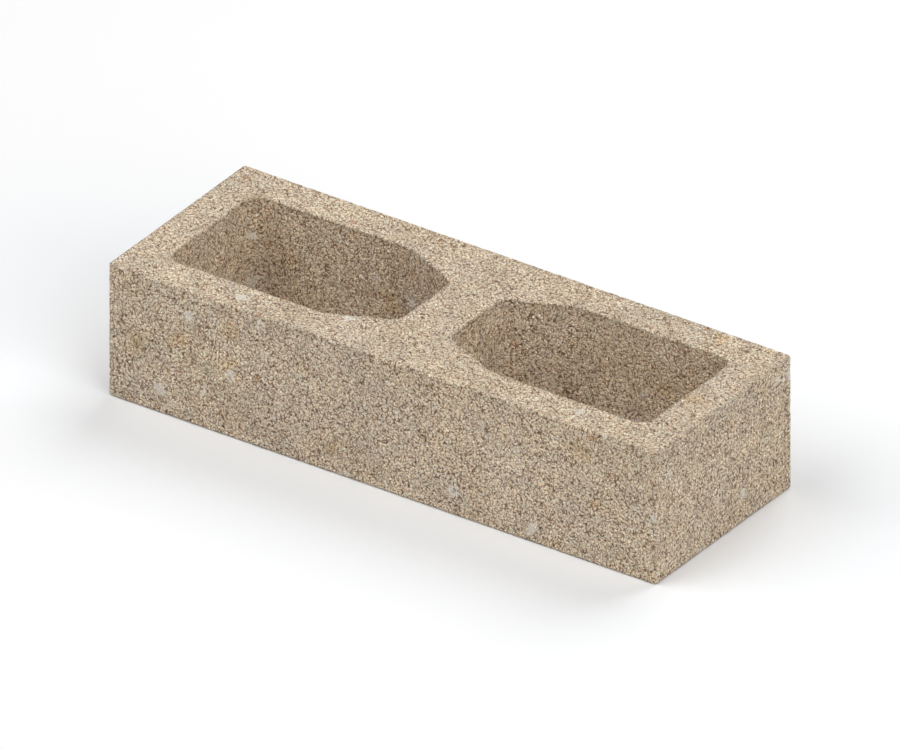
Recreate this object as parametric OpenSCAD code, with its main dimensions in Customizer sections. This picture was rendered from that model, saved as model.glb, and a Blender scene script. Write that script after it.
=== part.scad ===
/* [Block] */
// Length of the block
block_length = 390; // [300:1:500]
// Depth of the block, from its face to its back
block_depth = 140; // [120:1:200]
// Height of the block as it lies
block_height = 90; // [60:1:200]
// Radius that the outer arrises come out of the mould with
arris = 1.5; // [0.5:0.1:4]

/* [Cells] */
// Thickness of the shells before and behind the cells, at the top
face_shell = 25; // [20:1:30]
// Thickness of the web at each end of the block, at the top
end_web = 25; // [20:1:35]
// Thickness of the web between the two cells, at the top
middle_web = 36; // [25:1:50]
// Length over which a cell narrows towards the middle web
nose_length = 42; // [30:1:55]
// Width that a cell narrows to at the middle web, at the top
nose_width = 53; // [40:1:58]
// Radius of a cell's corners at the end of the block
end_corner = 9; // [5:0.5:14]
// Radius of a cell's corners where it starts to narrow
shoulder_corner = 20; // [10:1:30]
// Radius of a cell's corners at the middle web
nose_corner = 9; // [5:0.5:14]

/* [Mould] */
// How far each wall of a cell leans in between the top and the bottom, so that the core draws out
draft = 1; // [0:0.1:2]
// Width of the bevel around the mouths of the cells
mouth_bevel = 0.8; // [0.5:0.1:3]

/* [Hidden] */
$fn = 96;

// What a cut runs past the face that it opens
over = 1;
// What a corner's cone stands proud of the walls that it joins, so that they meet on one clean edge
proud = 0.005;
// Further than any wall is long
reach = block_length + block_height;

// One cell as seen from above, anticlockwise, where its walls meet at the top of the block
end_x = block_length / 2 - end_web;
nose_x = middle_web / 2;
shoulder_x = nose_x + nose_length;
cell_y = block_depth / 2 - face_shell;
nose_y = nose_width / 2;
OUTLINE = [
    [end_x, -cell_y],
    [end_x, cell_y],
    [shoulder_x, cell_y],
    [nose_x, nose_y],
    [nose_x, -nose_y],
    [shoulder_x, -cell_y],
];
RADII = [end_corner, end_corner, shoulder_corner, nose_corner, nose_corner, shoulder_corner];
CORNERS = [0:len(OUTLINE) - 1];

// Wall i runs from corner i to the next one, and facing() is the way out through it
function neighbour(i, by) = (i + by + len(OUTLINE)) % len(OUTLINE);
function wall(i) = OUTLINE[neighbour(i, 1)] - OUTLINE[i];
function facing(i) = [wall(i).y, -wall(i).x] / norm(wall(i));

// From the centre of a corner's round to the corner itself, for a radius of 1
function corner_ray(i) =
    let (before = facing(neighbour(i, -1)), after = facing(i))
    (before + after) / (1 + before * after);
function round_centre(i) = OUTLINE[i] - RADII[i] * corner_ray(i);

// The space inside wall i, which stands on the outline at height level and leans out above it
module inside_wall(i, level, lean)
    translate([OUTLINE[i].x, OUTLINE[i].y, level])
        rotate([0, 0, atan2(wall(i).y, wall(i).x)])
            rotate([lean, 0, 0])
                translate([-reach, 0, -reach])
                    cube([2 * reach, reach, 2 * reach]);

// What the round at corner i takes off the corner: all that lies beyond its cone
module outside_round(i, level, lean, low, high)
    translate([round_centre(i).x, round_centre(i).y, low])
        difference() {
            linear_extrude(high - low)
                polygon(reach * [[0, 0], facing(neighbour(i, -1)), corner_ray(i), facing(i)]);
            cylinder(
                h = high - low,
                r1 = RADII[i] + proud + (low - level) * tan(lean),
                r2 = RADII[i] + proud + (high - level) * tan(lean));
        }

// A stretch of the steel core from low to high: flat leaning walls that meet in tapered rounds
module core(level, lean, low, high)
    difference() {
        intersection() {
            translate([-reach, -reach, low])
                cube([2 * reach, 2 * reach, high - low]);
            intersection_for (i = CORNERS)
                inside_wall(i, level, lean);
        }
        for (i = CORNERS)
            outside_round(i, level, lean, low - over, high + over);
    }

// The drafted cell with the bevels of its two mouths, for the half of the block on +X
module cell() {
    top_bevel = block_height - mouth_bevel;
    bottom_bevel = mouth_bevel - draft;
    core(block_height, atan(draft / block_height), -over, block_height + over);
    core(top_bevel, 45, top_bevel - over, block_height + over);
    core(bottom_bevel, -45, -over, mouth_bevel + over);
}

// A slab of the given size and thickness with its four upright edges rounded to the arris
module rounded_slab(size, thickness)
    linear_extrude(thickness, center = true) {
        square(size - [2 * arris, 0], center = true);
        square(size - [0, 2 * arris], center = true);
        for (x = [-1, 1], y = [-1, 1])
            translate([x * (size.x / 2 - arris), y * (size.y / 2 - arris)])
                circle(arris);
    }

// The outside of the block: each pair of its faces gives the round of the four edges between them
module outside()
    translate([0, 0, block_height / 2])
        intersection() {
            rounded_slab([block_length, block_depth], block_height);
            rotate([90, 0, 0])
                rounded_slab([block_length, block_height], block_depth);
            rotate([90, 0, 90])
                rounded_slab([block_depth, block_height], block_length);
        }

// The whole block, one pressing of dry concrete, with its face to -Y and its wide mouths up
module facade_block()
    color([0.74, 0.67, 0.58])
        difference() {
            outside();
            cell();
            mirror([1, 0, 0])
                cell();
        }

facade_block();
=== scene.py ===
import math

import bmesh
import bpy
import numpy as np
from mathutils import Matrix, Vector


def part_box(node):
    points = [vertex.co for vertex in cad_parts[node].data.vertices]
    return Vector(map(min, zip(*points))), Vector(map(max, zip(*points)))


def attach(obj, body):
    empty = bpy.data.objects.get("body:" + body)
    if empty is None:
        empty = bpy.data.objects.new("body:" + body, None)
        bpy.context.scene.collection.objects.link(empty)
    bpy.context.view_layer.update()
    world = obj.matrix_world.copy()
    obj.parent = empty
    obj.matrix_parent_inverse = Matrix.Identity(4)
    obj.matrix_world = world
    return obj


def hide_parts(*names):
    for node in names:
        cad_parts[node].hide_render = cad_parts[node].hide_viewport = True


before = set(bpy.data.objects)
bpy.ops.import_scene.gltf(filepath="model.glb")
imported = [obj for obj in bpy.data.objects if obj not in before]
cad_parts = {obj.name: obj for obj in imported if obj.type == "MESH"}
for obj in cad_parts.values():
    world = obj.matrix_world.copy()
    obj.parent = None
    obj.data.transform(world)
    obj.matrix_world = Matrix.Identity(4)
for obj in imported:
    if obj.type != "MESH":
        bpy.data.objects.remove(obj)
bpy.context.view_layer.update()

# ---------------------------------------------------------------- the casting
# The block is one pressing of damp sand concrete, rammed into a steel mould and stripped at once.
# Its cement lies just behind the mould's planes, with pits where the mix did not close, and
# arrises that crumbled a little as the mould was lifted off.

low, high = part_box("facade_block")


def live(sockets, name=0):
    """The socket of that name, or in that place, among those that the node's settings leave in use."""
    used = [s for s in sockets if s.enabled]
    return used[name] if isinstance(name, int) else next(s for s in used if s.name == name)


def put(tree, kind, wires=(), **settings):
    """Adds a node with its settings, and feeds its inputs with values or with other nodes' outputs."""
    made = tree.nodes.new(kind)
    for name, value in settings.items():
        setattr(made, name, value)
    for name, value in dict(wires).items():
        socket = live(made.inputs, name)
        if isinstance(value, bpy.types.NodeSocket):
            tree.links.new(value, socket)
        else:
            socket.default_value = value
    return made


def figure(tree, operation, *values):
    """What one operation makes of its figures."""
    return put(tree, "ShaderNodeMath", dict(enumerate(values)), operation=operation).outputs[0]


def product(tree, first, *others):
    """All the figures multiplied together."""
    for other in others:
        first = figure(tree, "MULTIPLY", first, other)
    return first


def vector(tree, operation, *values):
    """What one operation makes of its vectors, which may be a vector or a figure."""
    made = put(tree, "ShaderNodeVectorMath", dict(enumerate(values)), operation=operation)
    return live(made.outputs)


def parts(tree, value):
    """The three parts of a vector or of a colour."""
    return put(tree, "ShaderNodeSeparateXYZ", {0: value}).outputs


def eased(tree, value, start, end, first=0.0, last=1.0):
    """Goes smoothly from first to last as value goes from start to end."""
    wires = {"Value": value, "From Min": start, "From Max": end, "To Min": first, "To Max": last}
    return put(tree, "ShaderNodeMapRange", wires, interpolation_type="SMOOTHSTEP").outputs[0]


def noise(tree, place, size, detail=2.0, roughness=0.5, colour=False):
    """Noise about 0.5 with lumps of that size: a figure, or three of them as a colour."""
    wires = {"Vector": place, "Scale": 1 / size, "Detail": detail, "Roughness": roughness}
    return put(tree, "ShaderNodeTexNoise", wires).outputs["Color" if colour else 0]


def attribute(tree, name, kind="FLOAT"):
    """What each point of a geometry carries under a name."""
    return live(put(tree, "GeometryNodeInputNamedAttribute", {"Name": name}, data_type=kind).outputs)


def stored(tree, geometry, name, value, kind="FLOAT", domain="POINT"):
    """The geometry with a value kept on it under a name."""
    wires = {"Geometry": geometry, "Name": name, "Value": value}
    made = put(tree, "GeometryNodeStoreNamedAttribute", wires, data_type=kind, domain=domain)
    return made.outputs[0]


def geometry_tree(name, inputs):
    """A Geometry Nodes tree with one geometry in and one out, and the named inputs."""
    tree = bpy.data.node_groups.new(name, "GeometryNodeTree")
    tree.interface.new_socket("Geometry", in_out="INPUT", socket_type="NodeSocketGeometry")
    for label, kind in inputs.items():
        tree.interface.new_socket(label, in_out="INPUT", socket_type="NodeSocket" + kind)
    tree.interface.new_socket("Geometry", in_out="OUTPUT", socket_type="NodeSocketGeometry")
    given = tree.nodes.new("NodeGroupInput").outputs
    result = tree.nodes.new("NodeGroupOutput").inputs
    return tree, given, result


def linked(name, data):
    """An object of that name in the scene, with its mesh, lamp or camera."""
    made = bpy.data.objects.new(name, data)
    bpy.context.scene.collection.objects.link(made)
    return made


def finished(bench):
    """What an object's modifiers make of it, as a plain mesh. The object itself is thrown away."""
    ready = bench.evaluated_get(bpy.context.evaluated_depsgraph_get())
    made = bpy.data.meshes.new_from_object(ready)
    bpy.data.objects.remove(bench)
    return made


def grown(mesh, tree, name, values):
    """Runs a tree on a mesh with these inputs, and returns what it makes as a plain mesh."""
    bench = linked(name, mesh)
    modifier = bench.modifiers.new(name, "NODES")
    modifier.node_group = tree
    for item in tree.interface.items_tree:
        if item.in_out == "INPUT" and item.name in values:
            modifier[item.identifier] = values[item.name]
    made = finished(bench)
    made.name = name
    return made


def read(items, name, width=1, kind=np.float32):
    """One property of every item of a mesh as an array."""
    found = np.empty(len(items) * width, kind)
    items.foreach_get(name, found)
    return found.reshape(-1, width) if width > 1 else found


# The mould's shape in even steps, taken from the solid and laid back on it
STEP = 0.0017
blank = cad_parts["facade_block"].data.copy()
welded = bmesh.new()
welded.from_mesh(blank)
bmesh.ops.remove_doubles(welded, verts=welded.verts, dist=1e-6)
welded.to_mesh(blank)
welded.free()
blank.materials.clear()
bench = linked("blank", blank)
even_steps = bench.modifiers.new("even_steps", "REMESH")
even_steps.mode = "VOXEL"
even_steps.voxel_size = STEP
even_steps.use_smooth_shade = True
laid_back = bench.modifiers.new("laid_back", "SHRINKWRAP")
laid_back.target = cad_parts["facade_block"]
laid_back.wrap_method = "NEAREST_SURFACEPOINT"
moulded = finished(bench)

# How far each place sinks behind the mould: slow swells, open pits, and chips that start at the
# arrises' width and are whole at their edge
ARRIS_WIDTH = 0.004
ARRIS_EDGE = 0.0005
CRUMB_SIZE = 0.007
PIT_SPACING = 0.011
SWELL_SIZE = 0.02
tree, given, result = geometry_tree(
    "sunken_skin",
    {
        "Half Length": "Float",
        "Half Depth": "Float",
        "Height": "Float",
        "Swell": "Float",
        "Pit Depth": "Float",
        "Pit Share": "Float",
        "Chip Depth": "Float",
    },
)
place = put(tree, "GeometryNodeInputPosition").outputs[0]
x, y, z = parts(tree, place)
to_head = figure(tree, "SUBTRACT", given["Half Length"], figure(tree, "ABSOLUTE", x))
to_face = figure(tree, "SUBTRACT", given["Half Depth"], figure(tree, "ABSOLUTE", y))
to_bed = figure(tree, "MINIMUM", z, figure(tree, "SUBTRACT", given["Height"], z))

# The middle one of the three distances is the distance to the nearest arris
nearer = figure(tree, "MINIMUM", to_head, to_face)
further = figure(tree, "MAXIMUM", to_head, to_face)
to_arris = figure(tree, "MAXIMUM", nearer, figure(tree, "MINIMUM", further, to_bed))

# The cells' mouths have bevels, so they are where the surface leans by 45 degrees
lean = figure(tree, "POWER", parts(tree, put(tree, "GeometryNodeInputNormal").outputs[0])[2], 2.0)
mouth = product(tree, figure(tree, "SUBTRACT", 1.0, lean), lean, 4.0)
arris = figure(tree, "MAXIMUM", eased(tree, to_arris, ARRIS_WIDTH, ARRIS_EDGE), mouth)
crumbled = eased(tree, noise(tree, place, CRUMB_SIZE, detail=3.0), 0.5, 0.72)
chip = product(tree, crumbled, arris, given["Chip Depth"])

# A share of the lots of space have a pit in the middle. A pit reaches out from there by between 7
# and 16 hundredths of a lot.
lots = put(tree, "ShaderNodeTexVoronoi", {"Vector": place, "Scale": 1 / PIT_SPACING})
lot = parts(tree, lots.outputs["Color"])
is_open = figure(tree, "LESS_THAN", lot[0], given["Pit Share"])
rim = figure(tree, "MULTIPLY_ADD", lot[1], 0.09, 0.07)
bowl = eased(tree, figure(tree, "DIVIDE", lots.outputs["Distance"], rim), 1.0, 0.35)
pit = product(tree, bowl, is_open, given["Pit Depth"])
swell = product(tree, noise(tree, place, SWELL_SIZE, detail=3.0), given["Swell"])
sink = figure(tree, "ADD", figure(tree, "ADD", chip, pit), swell)
surface = stored(tree, given["Geometry"], "sink", sink)
surface = stored(tree, surface, "arris", arris)
tree.links.new(surface, result["Geometry"])
moulded = grown(
    moulded,
    tree,
    "moulded",
    {
        "Half Length": high.x,
        "Half Depth": high.y,
        "Height": high.z,
        "Swell": 0.0003,
        "Pit Depth": 0.0024,
        "Pit Share": 0.2,
        "Chip Depth": 0.0004,
    },
)

# The mould's walls laid out flat, in rows on one square sheet that a saved model keeps its colours
# on. Each wall has the zone that it belongs to, its faces, and the two axes that it lies along.
WALL_BAND = 0.005
SHEET_GAP = 0.004
corners = read(moulded.vertices, "co", 3)
normals = read(moulded.vertices, "normal", 3)
middles = read(moulded.polygons, "center", 3)
facings = read(moulded.polygons, "normal", 3)
main_axis = np.abs(facings).argmax(1)
on_head = (main_axis == 0) & (np.abs(middles[:, 0]) > high.x - WALL_BAND)
on_face = (main_axis == 1) & (np.abs(middles[:, 1]) > high.y - WALL_BAND)
in_cell = (main_axis < 2) & ~on_head & ~on_face
cell_ends = in_cell & (main_axis == 0)
cell_sides = in_cell & (main_axis == 1)
right = middles[:, 0] > 0
front = middles[:, 1] < 0
up = facings[:, 2] > 0
outward = facings[:, 0] * np.where(right, 1, -1) > 0
ROWS = [
    [
        ("top_bed", (main_axis == 2) & up, (0, 1)),
        ("heads", on_head & right, (2, 1)),
        ("right_cell", cell_ends & right & outward, (1, 2)),
    ],
    [
        ("bottom_bed", (main_axis == 2) & ~up, (0, 1)),
        ("heads", on_head & ~right, (2, 1)),
        ("left_cell", cell_ends & ~right & outward, (1, 2)),
    ],
    [
        ("face", on_face & front, (0, 2)),
        ("right_cell", cell_sides & right & front, (0, 2)),
    ],
    [
        ("back", on_face & ~front, (0, 2)),
        ("right_cell", cell_sides & right & ~front, (0, 2)),
    ],
    [
        ("left_cell", cell_sides & ~right & front, (0, 2)),
        ("left_cell", cell_sides & ~right & ~front, (0, 2)),
        ("right_cell", cell_ends & right & ~outward, (1, 2)),
        ("left_cell", cell_ends & ~right & ~outward, (1, 2)),
    ],
]
ZONES = ["top_bed", "bottom_bed", "heads", "face", "back", "left_cell", "right_cell"]
zone = np.zeros(len(moulded.polygons), np.int32)
face_of = np.repeat(np.arange(len(zone)), read(moulded.polygons, "loop_total", kind=np.int32))
spots = corners[read(moulded.loops, "vertex_index", kind=np.int32)]
sheet = np.zeros((len(spots), 2), np.float32)
top, widest = 0.0, 0.0
for row in ROWS:
    side, tallest = 0.0, 0.0
    for name, belongs, axes in row:
        zone[belongs] = ZONES.index(name)
        here = belongs[face_of]
        flat = spots[here][:, axes]
        flat -= flat.min(0)
        sheet[here] = flat + (side, top)
        side += flat[:, 0].max() + SHEET_GAP
        tallest = max(tallest, flat[:, 1].max() + SHEET_GAP)
    top += tallest
    widest = max(widest, side)
sheet /= max(top, widest)
moulded.uv_layers.new(name="OFBake").uv.foreach_set("vector", sheet.ravel())
moulded.attributes.new("zone", "INT", "FACE").data.foreach_set("value", zone)

# The skin of cement, set back from the mould, and by only a tenth as much along the arrises
SETBACK = 0.0007
skin = moulded.copy()
skin.name = "cement_skin"
sink = read(skin.attributes["sink"].data, "value")
arris = read(skin.attributes["arris"].data, "value")
behind = SETBACK * (1 - 0.9 * arris) + sink
skin.vertices.foreach_set("co", (corners - normals * behind[:, None]).ravel())
skin.update()
cement_skin = linked("cement_skin", skin)


def blend(tree, share, first, second):
    """Two colours mixed by a share."""
    wires = {"Factor": share, "A": first, "B": second}
    return live(put(tree, "ShaderNodeMix", wires, data_type="RGBA").outputs)


def stained(tree, colour, share, tint):
    """The colour, with that share of it tinted."""
    return blend(tree, share, colour, vector(tree, "MULTIPLY", colour, tint))


def ramp(tree, value, stops):
    """The colour for a value, by way of stops that each have a position and a colour."""
    made = put(tree, "ShaderNodeValToRGB", {0: value})
    elements = made.color_ramp.elements
    for position, colour in stops[1:-1]:
        elements.new(position).color = (*colour, 1.0)
    for element, (position, colour) in ((elements[0], stops[0]), (elements[-1], stops[-1])):
        element.position = position
        element.color = (*colour, 1.0)
    return made.outputs[0]


def group_tree(name, inputs, outputs):
    """A shader node group with the named inputs and their usual values, and the named outputs."""
    tree = bpy.data.node_groups.new(name, "ShaderNodeTree")
    for label, (kind, value) in inputs.items():
        socket = tree.interface.new_socket(label, in_out="INPUT", socket_type="NodeSocket" + kind)
        if value is not None:
            socket.default_value = value
    for label, kind in outputs.items():
        tree.interface.new_socket(label, in_out="OUTPUT", socket_type="NodeSocket" + kind)
    return tree, tree.nodes.new("NodeGroupInput").outputs, tree.nodes.new("NodeGroupOutput").inputs


# What runs across cement and sand alike: slow changes of tone and hue. Each noise is read with a
# shift of its own, so that no two of them follow each other.
PINK = (1.02, 0.985, 0.97)
COOL_SAND = (0.993, 0.993, 1.016, 1.0)
WARM_SAND = (1.007, 0.995, 0.979, 1.0)
weathering, given, result = group_tree(
    "weathering",
    {
        "Color": ("Color", (0.5, 0.4, 0.3, 1.0)),
        "Place": ("Vector", None),
        "Bloom": ("Float", 0.5),
        "Ochre": ("Float", 0.9),
        "Rust": ("Float", 0.7),
    },
    {"Color": "Color"},
)
tree = weathering
place = given["Place"]
slow = noise(tree, place, size=0.07, detail=3.0)
slow = eased(tree, slow, 0.3, 0.7, 0.97, 1.07)
middling = noise(tree, place, size=0.012, detail=3.0)
middling = eased(tree, middling, 0.3, 0.7, 0.92, 1.08)
colour = vector(tree, "SCALE", given["Color"], product(tree, slow, middling))
shifted = vector(tree, "ADD", place, (1.9, 4.3, 2.2))
pinkish = noise(tree, shifted, size=0.012, detail=4.0, roughness=0.7)
colour = stained(tree, colour, eased(tree, pinkish, 0.5, 0.75, 0.0, 0.5), PINK)
shifted = vector(tree, "ADD", place, (6.1, 2.4, 0.7))
sandy = noise(tree, shifted, size=0.035, detail=3.0, roughness=0.6)
tint = blend(tree, eased(tree, sandy, 0.4, 0.6), COOL_SAND, WARM_SAND)
colour = vector(tree, "MULTIPLY", colour, tint)


def within(coordinate, limit, edge):
    """1 where a coordinate is less than its limit by an edge or more, either way, and 0 beyond it."""
    return eased(tree, figure(tree, "ABSOLUTE", coordinate), limit, limit - edge)


# The walls of the cells are a little browner than the outside. The space
# that holds them leaves out so much of the shells, the end webs and the beds.
BROWNER = (1.03, 1.01, 1.0)
SHELL_LEFT = 0.021
WEB_LEFT = 0.02
BED_LEFT = 0.0005
half_height = high.z / 2
x, y, z = parts(tree, place)
inner = product(
    tree,
    within(y, high.y - SHELL_LEFT, edge=0.002),
    within(figure(tree, "SUBTRACT", z, half_height), half_height - BED_LEFT, edge=0.0015),
    within(x, high.x - WEB_LEFT, edge=0.002),
)
colour = stained(tree, colour, inner, BROWNER)


def patches(place, apart, share, reach):
    """1 inside ragged patches that reach so far from their middles. A share of the lots have one."""
    lots = put(tree, "ShaderNodeTexVoronoi", {"Vector": place, "Scale": 1 / apart})
    ragged = noise(tree, place, size=0.0045, detail=4.0, roughness=0.7)
    far = figure(tree, "MULTIPLY_ADD", ragged, -5 * reach, lots.outputs["Distance"])
    inside = eased(tree, far, -1.4 * reach, -1.8 * reach)
    has_one = figure(tree, "LESS_THAN", parts(tree, lots.outputs["Color"])[0], share)
    return product(tree, inside, has_one)


# Ochre where clay was in the sand, pale bloom where lime came to the surface, and smudges of rust
CLAY = (0.98, 0.90, 0.76)
LIME = (1.0, 0.98, 0.92, 1.0)
RUST = (0.78, 0.56, 0.42)
shifted = vector(tree, "ADD", place, (3.1, 1.7, 0.4))
ochre = patches(shifted, apart=0.036, share=0.5, reach=0.19)
colour = stained(tree, colour, product(tree, ochre, given["Ochre"]), CLAY)
bloom = patches(place, apart=0.030, share=0.7, reach=0.125)
colour = blend(tree, product(tree, bloom, given["Bloom"]), colour, LIME)
shifted = vector(tree, "ADD", place, (5.2, 0.8, 2.9))
rust = patches(shifted, apart=0.014, share=0.16, reach=0.16)
colour = stained(tree, colour, product(tree, rust, given["Rust"]), RUST)
tree.links.new(colour, result["Color"])

# The grain that cement and sand share: lumps that run into each other, parted by thin winding
# creases, which run where either of two noises passes 0 as it swings about it
GRAIN_SIZE = 0.0029
grit, given, result = group_tree(
    "grit",
    {"Place": ("Vector", None), "Size": ("Float", GRAIN_SIZE)},
    {"Tone": "Float", "Hue": "Float", "Height": "Float"},
)
tree = grit
spot = vector(tree, "SCALE", given["Place"], figure(tree, "DIVIDE", 1.0, given["Size"]))
aside = vector(tree, "ADD", spot, (7.3, 2.9, 5.1))
lumps = figure(tree, "MULTIPLY_ADD", noise(tree, spot, size=1.0, detail=1.0), 4.0, -2.0)
knobs = figure(tree, "MULTIPLY_ADD", noise(tree, aside, size=0.62, detail=1.0), 4.0, -2.0)
knobs = figure(tree, "MULTIPLY_ADD", figure(tree, "ABSOLUTE", knobs), 1.4, 0.02)
height = figure(tree, "MINIMUM", figure(tree, "ABSOLUTE", lumps), knobs)
shares = parts(tree, noise(tree, aside, size=0.8, detail=1.0, colour=True))
tree.links.new(eased(tree, shares[0], 0.25, 0.75), result["Tone"])
tree.links.new(eased(tree, shares[1], 0.3, 0.7), result["Hue"])
tree.links.new(height, result["Height"])


def new_material(name):
    """A material with its tree, its Principled shader and the Object coordinates."""
    material = bpy.data.materials.new(name)
    material.use_nodes = True
    tree = material.node_tree
    place = put(tree, "ShaderNodeTexCoord").outputs["Object"]
    return material, tree, tree.nodes["Principled BSDF"], place


def coat(tree, shader, place, colour, hue, fine):
    """Tints a colour a little from grain to grain, weathers it, and puts it on the shader."""
    warm = (1.035, 1.01, 0.975, 1.0)
    cool = (0.99, 1.03, 1.065, 1.0)
    colour = vector(tree, "MULTIPLY", colour, blend(tree, hue, warm, cool))
    colour = vector(tree, "SCALE", colour, eased(tree, fine, 0.3, 0.7, 0.8, 1.2))
    wires = {"Color": colour, "Place": place}
    weathered = put(tree, "ShaderNodeGroup", wires, node_tree=weathering).outputs[0]
    tree.links.new(weathered, shader.inputs["Base Color"])


def roughen(tree, shader, fine, height, smooth, rough, relief):
    """Makes the finest grain rough in its hollows and smoother on its tops, and raises a height."""
    tree.links.new(eased(tree, fine, 0.2, 0.8, rough, smooth), shader.inputs["Roughness"])
    wires = {"Strength": 1.0, "Distance": relief, "Height": height}
    tree.links.new(put(tree, "ShaderNodeBump", wires).outputs[0], shader.inputs["Normal"])


# Cement: buff lumps of random tone, with painted shade in the dark creases between them, and painted
# shade where a pit sinks from its edge to its floor
FINE_SIZE = 0.001
# The cement's tones; the darkest stops are painted shade in the creases
CEMENT_TONES_AND_CREASE_SHADE = [
    (0.0, (0.13, 0.075, 0.048)),
    (0.12, (0.30, 0.196, 0.13)),
    (0.32, (0.63, 0.478, 0.33)),
    (0.5, (0.75, 0.607, 0.44)),
    (1.0, (0.89, 0.82, 0.66)),
]
SHADED = (0.32, 0.24, 0.2)
PIT_EDGE = 0.0006
PIT_FLOOR = 0.0016
cement, tree, shader, place = new_material("cement")
grain = put(tree, "ShaderNodeGroup", {"Place": place}, node_tree=grit).outputs
fine = noise(tree, place, FINE_SIZE, detail=3.0, roughness=0.6)
share = figure(tree, "MULTIPLY_ADD", grain["Tone"], 0.5, 0.5)
# Random tone of the lumps, with painted shade where the grain's height falls into a crease
tone_and_crease_shade = product(tree, eased(tree, grain["Height"], 0.0, 0.34), share)
sunk = put(tree, "ShaderNodeAttribute", attribute_name="sink").outputs["Fac"]
# Painted shade in the open pits, deepening from their edge to their floor
pit_shade = eased(tree, sunk, PIT_EDGE, PIT_FLOOR)
colour = stained(tree, ramp(tree, tone_and_crease_shade, CEMENT_TONES_AND_CREASE_SHADE), pit_shade, SHADED)
coat(tree, shader, place, colour, grain["Hue"], fine)
height = figure(tree, "MULTIPLY_ADD", fine, 0.15, grain["Height"])
roughen(tree, shader, fine, height, smooth=0.82, rough=0.98, relief=0.0009)
skin.materials.append(cement)

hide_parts("facade_block")
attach(cement_skin, "root")

# ---------------------------------------------------------------- the sand
# Washed sand, one and a half to three millimetres across, makes up most of the mix. The ramming
# packs it against the mould, so each grain sits half in the cement or deeper, and none stands
# past the mould's planes.

# A pit as deep as this holds no grain. So many grains are tried on a square metre, and each random
# draw adds a number of its own to the seed.
OPEN_PIT = 0.0014
MOST_GRAINS = 9e5
DRAWS = {"tone": 11, "hue": 12, "size": 13, "depth": 14, "shape": 15, "tip": 16}
packed_sand, given, result = geometry_tree(
    "packed_sand",
    {
        "Zone": "Int",
        "Spacing": "Float",
        "Smallest": "Float",
        "Largest": "Float",
        "Unevenness": "Float",
        "Seed": "Int",
        "Material": "Material",
    },
)
tree = packed_sand


def drawn(what, first=0.0, last=1.0, kind="FLOAT"):
    """A random value for each grain, from the tree's seed and what it is drawn for."""
    seed = figure(tree, "ADD", given["Seed"], DRAWS[what])
    wires = {"Min": first, "Max": last, "Seed": seed}
    return live(put(tree, "FunctionNodeRandomValue", wires, data_type=kind).outputs)


# Where the grains lie: as close as their spacing lets them, in one zone, and not in the open pits.
# There are more small ones than large ones. A size is half a grain's width.
wires = {"A": attribute(tree, "zone", "INT"), "B": given["Zone"]}
in_zone = put(tree, "FunctionNodeCompare", wires, data_type="INT", operation="EQUAL").outputs[0]
closed = figure(tree, "LESS_THAN", attribute(tree, "sink"), OPEN_PIT)
wires = {
    "Mesh": given["Geometry"],
    "Selection": product(tree, in_zone, closed),
    "Distance Min": given["Spacing"],
    "Density Max": MOST_GRAINS,
    "Seed": given["Seed"],
}
strewn = put(tree, "GeometryNodeDistributePointsOnFaces", wires, distribute_method="POISSON")
spread = figure(tree, "SUBTRACT", given["Largest"], given["Smallest"])
size = figure(tree, "POWER", drawn("size"), 1.6)
size = figure(tree, "MULTIPLY_ADD", size, spread, given["Smallest"])
points = stored(tree, strewn.outputs["Points"], "tone", drawn("tone"))
points = stored(tree, points, "hue", drawn("hue"))
points = stored(tree, points, "serial", put(tree, "GeometryNodeInputIndex").outputs[0], "INT")
points = stored(tree, points, "size", size)
points = stored(tree, points, "facing", strewn.outputs["Normal"], "FLOAT_VECTOR")

# How deep their middles are: eight tenths of their size, and only three tenths and more even along
# the arrises, to keep those sharp
size = attribute(tree, "size")
steady = figure(tree, "MULTIPLY_ADD", attribute(tree, "arris"), -1.0, 1.0)
uneven = product(tree, drawn("depth"), steady)
depth = figure(tree, "MULTIPLY_ADD", uneven, given["Unevenness"], attribute(tree, "sink"))
share = figure(tree, "MULTIPLY_ADD", attribute(tree, "arris"), -0.5, 0.8)
depth = figure(tree, "MULTIPLY_ADD", size, share, depth)
facing = attribute(tree, "facing", "FLOAT_VECTOR")
wires = {"Geometry": points, "Offset": vector(tree, "SCALE", facing, product(tree, depth, -1.0))}
points = put(tree, "GeometryNodeSetPosition", wires).outputs[0]

# A blunt grain of ten faces, longer and flatter by turns, that lies flat or tips a little
ball = put(tree, "GeometryNodeMeshUVSphere", {"Radius": 1.0, "Segments": 5, "Rings": 2})
grain = stored(tree, ball.outputs["Mesh"], "net", ball.outputs["UV Map"], "FLOAT2", "CORNER")
shape = drawn("shape", (0.85, 0.7, 0.6), (1.1, 1.0, 0.95), "FLOAT_VECTOR")
tip = drawn("tip", (-0.45, -0.45, -3.1), (0.45, 0.45, 3.1), "FLOAT_VECTOR")
tip = put(tree, "FunctionNodeEulerToRotation", {0: tip}).outputs[0]
wires = {"Rotation": strewn.outputs["Rotation"], "Rotate By": tip}
turn = put(tree, "FunctionNodeRotateRotation", wires, rotation_space="LOCAL").outputs[0]
wires = {
    "Points": points,
    "Instance": grain,
    "Rotation": turn,
    "Scale": vector(tree, "SCALE", shape, size),
}
grains = put(tree, "GeometryNodeInstanceOnPoints", wires).outputs[0]
grains = put(tree, "GeometryNodeRealizeInstances", {0: grains}).outputs[0]

# Its corners are pushed about by up to a third of its size, so that no two grains are alike
place = put(tree, "GeometryNodeInputPosition").outputs[0]
knobs = noise(tree, place, size=0.0012, detail=0.0, colour=True)
knobs = vector(tree, "SUBTRACT", knobs, (0.5, 0.5, 0.5))
knobs = vector(tree, "SCALE", knobs, product(tree, size, 0.75))
grains = put(tree, "GeometryNodeSetPosition", {"Geometry": grains, "Offset": knobs}).outputs[0]

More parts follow.
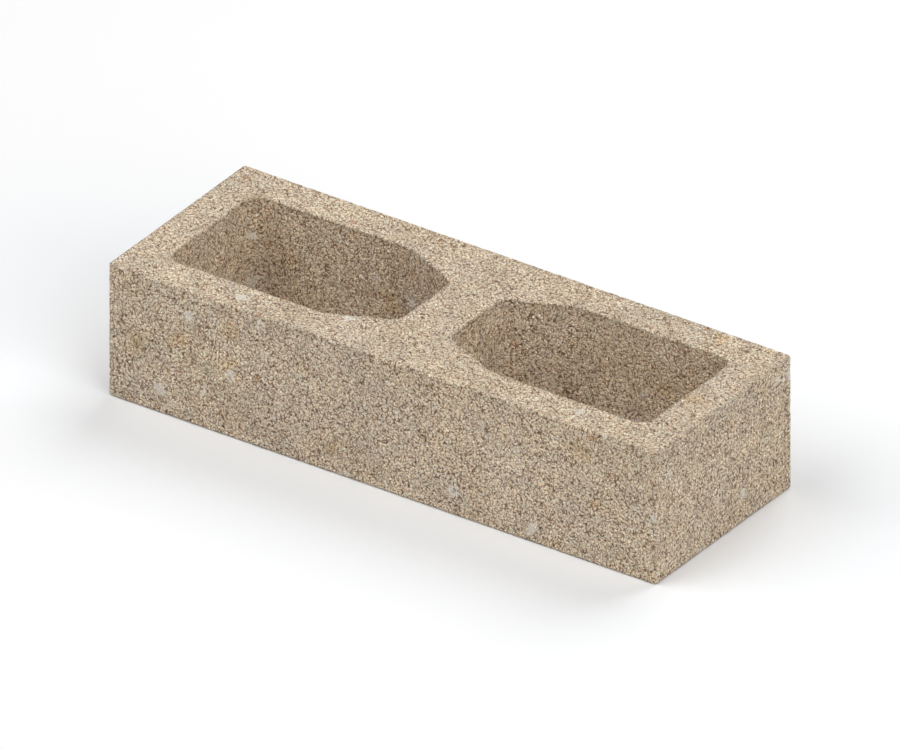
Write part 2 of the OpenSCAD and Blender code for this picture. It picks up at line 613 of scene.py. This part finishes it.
# What stands past the mould is pressed back to it
mould = given["Geometry"]
place = put(tree, "GeometryNodeInputPosition").outputs[0]
nearest = put(tree, "GeometryNodeProximity", {0: mould, "Sample Position": place}).outputs[0]


def on_mould(value, kind):
    """What the mould's surface carries at the point nearest to a place."""
    wires = {"Mesh": mould, "Value": value, "Sample Position": place}
    made = put(tree, "GeometryNodeSampleNearestSurface", wires, data_type=kind)
    return live(made.outputs, "Value")


outwards = on_mould(put(tree, "GeometryNodeInputNormal").outputs[0], "FLOAT_VECTOR")
outwards = vector(tree, "NORMALIZE", outwards)
past = vector(tree, "DOT_PRODUCT", vector(tree, "SUBTRACT", place, nearest), outwards)
past = figure(tree, "ADD", past, on_mould(attribute(tree, "sink"), "FLOAT"))
back = product(tree, figure(tree, "MAXIMUM", past, 0.0), -1.0)
wires = {"Geometry": grains, "Offset": vector(tree, "SCALE", outwards, back)}
grains = put(tree, "GeometryNodeSetPosition", wires).outputs[0]
grains = put(tree, "GeometryNodeSetShadeSmooth", {"Geometry": grains}).outputs[0]

# Each grain has a square of its own on its piece's sheet, and its net fills nine tenths of it
wires = {"Geometry": points}
count = put(tree, "GeometryNodeAttributeDomainSize", wires, component="POINTCLOUD").outputs[0]
columns = figure(tree, "CEIL", figure(tree, "SQRT", count))
serial = attribute(tree, "serial", "INT")
column = figure(tree, "MODULO", serial, columns)
line = figure(tree, "FLOOR", figure(tree, "DIVIDE", figure(tree, "ADD", serial, 0.5), columns))
corner = put(tree, "ShaderNodeCombineXYZ", {0: column, 1: line}).outputs[0]
net = vector(tree, "MULTIPLY", attribute(tree, "net", "FLOAT_VECTOR"), (0.9, 0.9, 0.0))
laid = vector(tree, "ADD", vector(tree, "ADD", net, (0.05, 0.05, 0.0)), corner)
laid = vector(tree, "SCALE", laid, figure(tree, "DIVIDE", 1.0, columns))
grains = stored(tree, grains, "OFBake", laid, "FLOAT2", "CORNER")
for spent in ("net", "serial", "size", "facing", "arris", "sink"):
    wires = {"Geometry": grains, "Name": spent}
    grains = put(tree, "GeometryNodeRemoveAttribute", wires).outputs[0]
wires = {"Geometry": grains, "Material": given["Material"]}
grains = put(tree, "GeometryNodeSetMaterial", wires).outputs[0]
tree.links.new(grains, result["Geometry"])

# Sand from brown to pale buff, with painted shade in the cement's creases running on across it
GRAINS = [
    (0.0, (0.465, 0.342, 0.24)),
    (0.06, (0.63, 0.49, 0.347)),
    (0.35, (0.745, 0.597, 0.418)),
    (0.75, (0.865, 0.735, 0.552)),
    (1.0, (0.95, 0.905, 0.77)),
]
CREASE_SHADE = (0.10, 0.06, 0.045, 1.0)
UNSHADED = (1.08, 1.08, 1.07, 1.0)
sand, tree, shader, place = new_material("sand")
tone = put(tree, "ShaderNodeAttribute", attribute_name="tone").outputs["Fac"]
hue = put(tree, "ShaderNodeAttribute", attribute_name="hue").outputs["Fac"]
fine = noise(tree, place, FINE_SIZE, detail=3.0, roughness=0.6)
height = put(tree, "ShaderNodeGroup", {"Place": place}, node_tree=grit).outputs["Height"]
# Painted shade in the creases, and a touch lighter out of them
shade = blend(tree, eased(tree, height, 0.02, 0.17), CREASE_SHADE, UNSHADED)
colour = vector(tree, "MULTIPLY", ramp(tree, tone, GRAINS), shade)
coat(tree, shader, place, colour, hue, fine)
height = figure(tree, "MULTIPLY_ADD", fine, 0.3, height)
roughen(tree, shader, fine, height, smooth=0.75, rough=0.95, relief=0.0004)

# One piece for each zone. The first material slot is an empty one, left over from the mould.
for number, name in enumerate(ZONES):
    grains = grown(
        moulded.copy(),
        packed_sand,
        "sand_" + name,
        {
            "Zone": number,
            "Spacing": 0.0014,
            "Smallest": 0.0008,
            "Largest": 0.0015,
            "Unevenness": 0.0005,
            "Seed": 20 + number,
            "Material": sand,
        },
    )
    grains.materials.pop(index=0)
    piece = linked("sand_" + name, grains)
    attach(piece, "root")

# ---------------------------------------------------------------- the studio
# A pale floor that the block stands on, three soft lamps round it and a camera above its right end.
# The floor keeps the block's soft shadow and is white beyond it.

middle = (low + high) / 2


def towards(bearing, rise):
    """The way to a thing, by its bearing from +X towards +Y and its rise above the floor, in radians."""
    flat = math.cos(rise)
    return Vector((flat * math.cos(bearing), flat * math.sin(bearing), math.sin(rise)))


def lamp(name, bearing, rise, distance, width, light):
    """A round soft lamp that looks at the block, by the light it gives there. Angles are in degrees."""
    data = bpy.data.lights.new(name, "AREA")
    data.shape = "DISK"
    data.size = width
    data.energy = light * math.pi * distance**2
    made = linked(name, data)
    way = towards(math.radians(bearing), math.radians(rise))
    made.location = middle + way * distance
    made.rotation_euler = way.to_track_quat("Z", "Y").to_euler()


lamp("lamp_behind", bearing=82.0, rise=52.8, distance=2.65, width=2.02, light=1.64)
lamp("lamp_left", bearing=226.5, rise=50.8, distance=3.60, width=3.53, light=2.01)
lamp("lamp_right", bearing=337.3, rise=31.5, distance=4.00, width=4.00, light=1.95)


def seen_share(tree):
    """1 for what the camera sees, directly or through a shine, and 0 for what lights the block."""
    path = put(tree, "ShaderNodeLightPath").outputs
    seen = figure(tree, "MAXIMUM", path["Is Camera Ray"], path["Is Glossy Ray"])
    return figure(tree, "MAXIMUM", seen, path["Is Transmission Ray"])


# Next to the block the floor is a touch cool, which takes out the warm light that comes off the
# block. The cool part is an oval that reaches a little past the block and fades out from there.
REACH = 4.0
paper = bpy.data.meshes.new("floor")
paper.from_pydata(
    [(-REACH, -REACH, 0), (REACH, -REACH, 0), (REACH, REACH, 0), (-REACH, REACH, 0)],
    [],
    [(0, 1, 2, 3)],
)
floor = linked("floor", paper)
pale = bpy.data.materials.new("floor")
pale.use_nodes = True
tree = pale.node_tree
shader = tree.nodes["Principled BSDF"]
shader.inputs["Roughness"].default_value = 1.0
shader.inputs["Specular IOR Level"].default_value = 0.0
place = put(tree, "ShaderNodeTexCoord").outputs["Object"]
oval = vector(tree, "LENGTH", vector(tree, "MULTIPLY", place, (0.45, 1.0, 1.0)))
beyond = eased(tree, oval, 0.12, 0.26)
colour = blend(tree, beyond, (0.96, 0.974, 0.99, 1.0), (0.985, 0.985, 0.985, 1.0))
colour = blend(tree, seen_share(tree), (0.8, 0.8, 0.8, 1.0), colour)
tree.links.new(colour, shader.inputs["Base Color"])
paper.materials.append(pale)

# The world is white to the camera, and gives the block hardly any light
FAINT = 0.02
world = bpy.data.worlds.new("studio")
bpy.context.scene.world = world
world.use_nodes = True
tree = world.node_tree
background = tree.nodes["Background"]
background.inputs["Color"].default_value = (1.0, 1.0, 1.0, 1.0)
strength = figure(tree, "MULTIPLY_ADD", seen_share(tree), 1 - FAINT, FAINT)
tree.links.new(strength, background.inputs["Strength"])

# The camera has no perspective. Its azimuth runs from straight before the face towards the right.
VIEW_WIDTH = 0.5267
CAMERA_DISTANCE = 2.0
azimuth = math.radians(34.713)
elevation = math.radians(30.175)
lens = bpy.data.cameras.new("camera")
lens.type = "ORTHO"
lens.ortho_scale = VIEW_WIDTH
camera = linked("camera", lens)
camera.location = middle + towards(azimuth - math.pi / 2, elevation) * CAMERA_DISTANCE
camera.rotation_euler = (math.pi / 2 - elevation, 0.0, azimuth)
bpy.context.scene.camera = camera
bpy.context.scene.view_settings.view_transform = "Standard"
